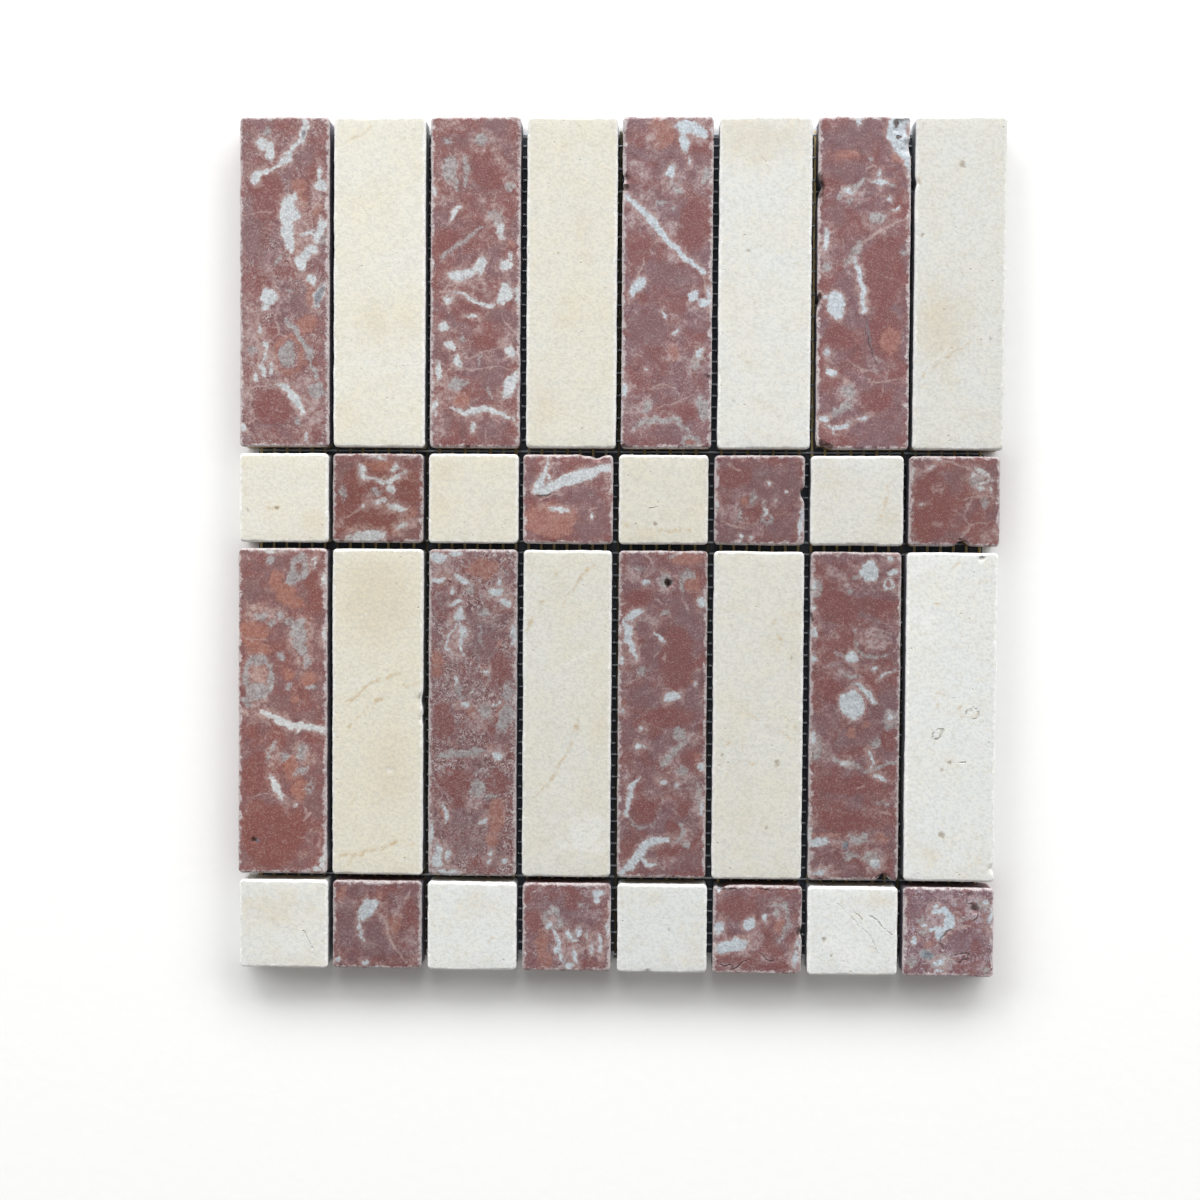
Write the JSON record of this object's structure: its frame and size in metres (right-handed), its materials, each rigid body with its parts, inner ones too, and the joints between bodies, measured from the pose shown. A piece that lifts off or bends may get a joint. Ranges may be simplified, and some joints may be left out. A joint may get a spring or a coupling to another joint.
{
  "type": "tumbled marble mosaic tile sheet",
  "caption": "Mesh-backed sheet of tumbled marble tiles, red and cream strips and squares in alternating columns, with worn edges and open joints for grout.",
  "frame": {"origin": "middle of the sheet, on the underside of its net", "axes": "+Z out of the stone face, +Y up the columns of tiles towards the top row of strips, +X along a row to the right, seen from the face"},
  "size_m": [0.268, 0.3, 0.0106],
  "materials": {
    "red_marble": "matte",
    "cream_marble": "matte",
    "glass_net": "matte"
  },
  "bodies": {
    "root": {"cream_square_r2_c1": "cream_marble", "cream_square_r2_c3": "cream_marble", "cream_square_r2_c5": "cream_marble", "cream_square_r2_c7": "cream_marble", "cream_square_r4_c1": "cream_marble", "cream_square_r4_c3": "cream_marble", "cream_square_r4_c5": "cream_marble", "cream_square_r4_c7": "cream_marble", "cream_strip_r1_c2": "cream_marble", "cream_strip_r1_c4": "cream_marble", "cream_strip_r1_c6": "cream_marble", "cream_strip_r1_c8": "cream_marble", "cream_strip_r3_c2": "cream_marble", "cream_strip_r3_c4": "cream_marble", "cream_strip_r3_c6": "cream_marble", "cream_strip_r3_c8": "cream_marble", "net_warp_yarns": "glass_net", "net_weft_yarns": "glass_net", "red_square_r2_c2": "red_marble", "red_square_r2_c4": "red_marble", "red_square_r2_c6": "red_marble", "red_square_r2_c8": "red_marble", "red_square_r4_c2": "red_marble", "red_square_r4_c4": "red_marble", "red_square_r4_c6": "red_marble", "red_square_r4_c8": "red_marble", "red_strip_r1_c1": "red_marble", "red_strip_r1_c3": "red_marble", "red_strip_r1_c5": "red_marble", "red_strip_r1_c7": "red_marble", "red_strip_r3_c1": "red_marble", "red_strip_r3_c3": "red_marble", "red_strip_r3_c5": "red_marble", "red_strip_r3_c7": "red_marble"}
  },
  "joints": []
}
